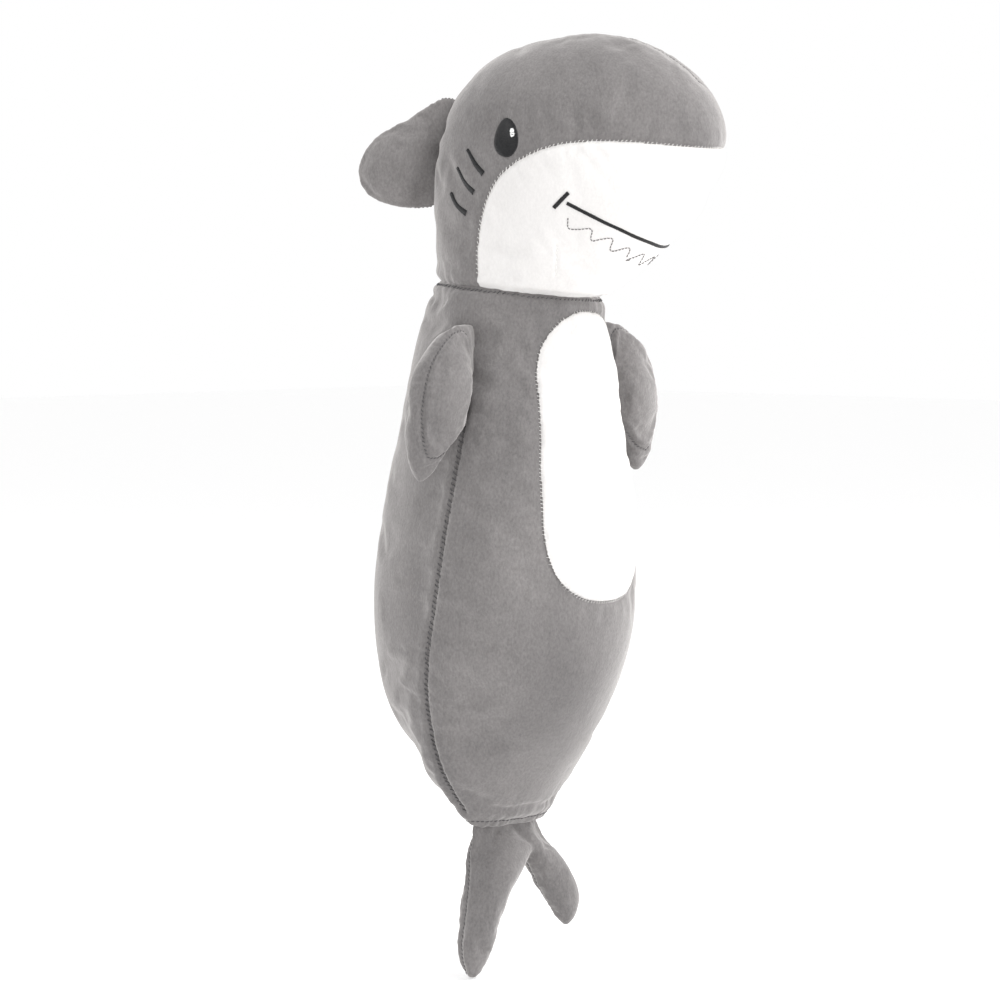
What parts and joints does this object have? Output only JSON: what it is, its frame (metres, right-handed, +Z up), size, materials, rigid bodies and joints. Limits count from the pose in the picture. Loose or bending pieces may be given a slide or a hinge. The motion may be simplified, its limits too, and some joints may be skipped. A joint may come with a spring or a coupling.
{
  "type": "plush shark",
  "caption": "Upright stuffed shark with a sewn-on turning head, side fins, dorsal fin and forked tail, white muzzle and belly patch, embroidered eyes, gills, mouth and teeth.",
  "frame": {"origin": "middle of the bounding box in X and Y, at the lowest point of the tail", "axes": "+Z up along the upright body, the belly faces -Y and the shark's right side is at -X"},
  "size_m": [0.22, 0.2214, 0.601],
  "materials": {
    "grey_plush": "short soft pile, brushed, mottled nap",
    "white_plush": "short soft pile, white",
    "polyester_filling": "loose fibre wadding",
    "grey_thread": "spun sewing thread, slight sheen",
    "white_thread": "spun sewing thread, slight sheen",
    "black_embroidery": "satin stitch thread, soft sheen",
    "white_embroidery": "satin stitch thread, soft sheen",
    "grey_embroidery": "fine running stitch, matt"
  },
  "bodies": {
    "torso": {"belly_patch": "white_plush", "belly_patch_stitching": "white_thread", "bottom_seam_thread": "grey_thread", "left_side_seam_thread": "grey_thread", "neck_seam_thread": "grey_thread", "right_side_seam_thread": "grey_thread", "torso_back_panel": "grey_plush", "torso_filling": "polyester_filling", "torso_front_panel": "grey_plush"},
    "head": {"chin_dart_threads": "white_thread", "crown_seam_thread": "grey_thread", "head_filling": "polyester_filling", "head_left_panel": "grey_plush", "head_right_panel": "grey_plush", "left_eye": "black_embroidery", "left_eye_glint": "white_embroidery", "left_gill_strokes": "black_embroidery", "left_mouth_corner": "black_embroidery", "mouth_line": "black_embroidery", "muzzle_panel": "white_plush", "muzzle_seam_thread": "white_thread", "right_eye": "black_embroidery", "right_eye_glint": "white_embroidery", "right_gill_strokes": "black_embroidery", "right_mouth_corner": "black_embroidery", "teeth_outline": "grey_embroidery"},
    "dorsal_fin": {"dorsal_fin_filling": "polyester_filling", "dorsal_fin_left_panel": "grey_plush", "dorsal_fin_right_panel": "grey_plush", "dorsal_fin_seam_thread": "grey_thread"},
    "left_fin": {"left_fin_back_panel": "grey_plush", "left_fin_filling": "polyester_filling", "left_fin_front_panel": "grey_plush", "left_fin_seam_thread": "grey_thread"},
    "right_fin": {"right_fin_back_panel": "grey_plush", "right_fin_filling": "polyester_filling", "right_fin_front_panel": "grey_plush", "right_fin_seam_thread": "grey_thread"},
    "tail": {"tail_back_panel": "grey_plush", "tail_filling": "polyester_filling", "tail_front_panel": "grey_plush", "tail_seam_thread": "grey_thread"}
  },
  "joints": [
    {"name": "head_turn", "type": "hinge", "parent": "torso", "child": "head", "pos_m": [0, 0.01308, 0.439], "axis": [0.0475, -0.0931, 0.9945], "range_deg": [-54, 12], "stiffness_Nm_per_rad": 0.4},
    {"name": "dorsal_fin_flap", "type": "hinge", "parent": "head", "child": "dorsal_fin", "pos_m": [-0.02315, 0.05852, 0.5275], "axis": [0.0868, -0.1704, 0.9815], "range_deg": [-25, 25], "stiffness_Nm_per_rad": 0.05},
    {"name": "right_fin_swing", "type": "hinge", "parent": "torso", "child": "right_fin", "pos_m": [-0.0596, -0.00042, 0.397], "axis": [0.1343, 0.1119, 0.9846], "range_deg": [-20, 30], "stiffness_Nm_per_rad": 0.05},
    {"name": "left_fin_swing", "type": "hinge", "parent": "torso", "child": "left_fin", "pos_m": [0.0596, -0.00042, 0.397], "axis": [0.1343, -0.1119, -0.9846], "range_deg": [-20, 30], "stiffness_Nm_per_rad": 0.05},
    {"name": "tail_swing", "type": "hinge", "parent": "torso", "child": "tail", "pos_m": [-0.001, 0.02408, 0.0956], "axis": [1, 0, 0], "range_deg": [-45, 45], "stiffness_Nm_per_rad": 0.3}
  ]
}
